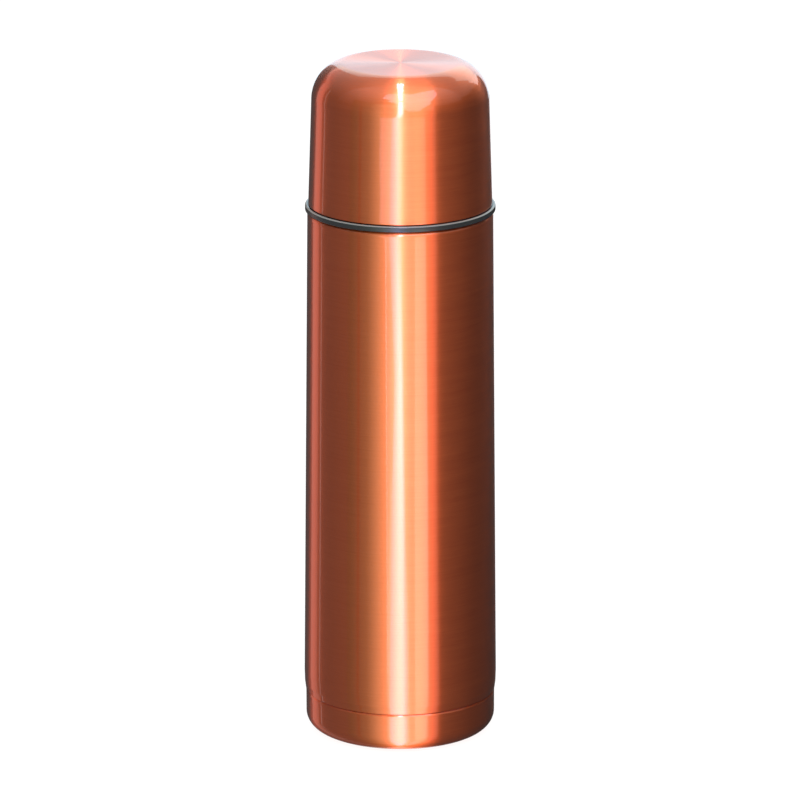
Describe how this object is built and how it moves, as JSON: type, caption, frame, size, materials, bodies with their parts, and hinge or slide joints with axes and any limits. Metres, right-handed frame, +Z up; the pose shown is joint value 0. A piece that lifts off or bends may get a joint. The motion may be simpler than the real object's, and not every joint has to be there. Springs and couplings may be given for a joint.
{
  "type": "vacuum flask with cup lid",
  "caption": "Slim copper-lacquered vacuum flask with a round-shouldered screw-on cup, a dark rim ring and a push-button pouring stopper inside.",
  "frame": {"origin": "centre of the foot, on the surface the flask stands on", "axes": "+Z up along the flask's axis; the flask is round about Z, so X and Y are free (X runs through the getter)"},
  "size_m": [0.07, 0.07, 0.2485],
  "materials": {
    "copper_lacquer": "circular-brushed steel under a clear copper-coloured gloss lacquer",
    "bare_steel": "satin stainless steel",
    "dark_plastic": "satin dark grey polypropylene",
    "grey_plastic": "matt mid-grey polypropylene",
    "silicone": "translucent milky silicone",
    "spring_steel": "bright drawn wire and strip",
    "foil": "thin bright metal foil",
    "getter": "sintered grey powder metal",
    "solder": "dull solder"
  },
  "bodies": {
    "flask": {"base_cap": "copper_lacquer", "outer_shell": "copper_lacquer", "outer_bottom": "bare_steel", "seal_bead": "solder", "inner_tube": "bare_steel", "inner_bottom": "bare_steel", "radiation_foil": "foil", "getter_clip": "spring_steel", "getter_pellet": "getter", "neck_collar": "dark_plastic"},
    "gasket": {"stopper_gasket": "silicone"},
    "stopper": {"stopper_body": "grey_plastic", "stopper_cover": "dark_plastic", "button_spring": "spring_steel"},
    "button": {"push_button": "grey_plastic", "valve_stem": "dark_plastic", "valve_seal": "silicone", "seal_retainer": "grey_plastic"},
    "rim": {"rim_ring": "dark_plastic"},
    "cup": {"cup_shell": "copper_lacquer", "cup_liner": "grey_plastic"}
  },
  "joints": [
    {"name": "stopper_rise", "type": "slide", "parent": "flask", "child": "gasket", "axis": [0, 0, 1], "range_m": [0, 0.0361]},
    {"name": "stopper_turn", "type": "hinge", "parent": "gasket", "child": "stopper", "pos_m": [0, 0, 0.21], "axis": [0, 0, 1], "range_deg": [0, 1080]},
    {"name": "button_press", "type": "slide", "parent": "stopper", "child": "button", "axis": [0, 0, -1], "range_m": [0, 0.004], "stiffness_N_per_m": 600, "springref_m": -0.006, "deforming": ["button_spring"]},
    {"name": "cup_rise", "type": "slide", "parent": "stopper", "child": "rim", "axis": [0, 0, 1], "range_m": [0, 0.0481]},
    {"name": "cup_turn", "type": "hinge", "parent": "rim", "child": "cup", "pos_m": [0, 0, 0.21], "axis": [0, 0, 1], "range_deg": [0, 1440]}
  ],
  "couplings": [
    {"joint": "stopper_rise", "follows": "stopper_turn", "m_per_rad": 0.0019099},
    {"joint": "cup_rise", "follows": "cup_turn", "m_per_rad": 0.0019099}
  ]
}
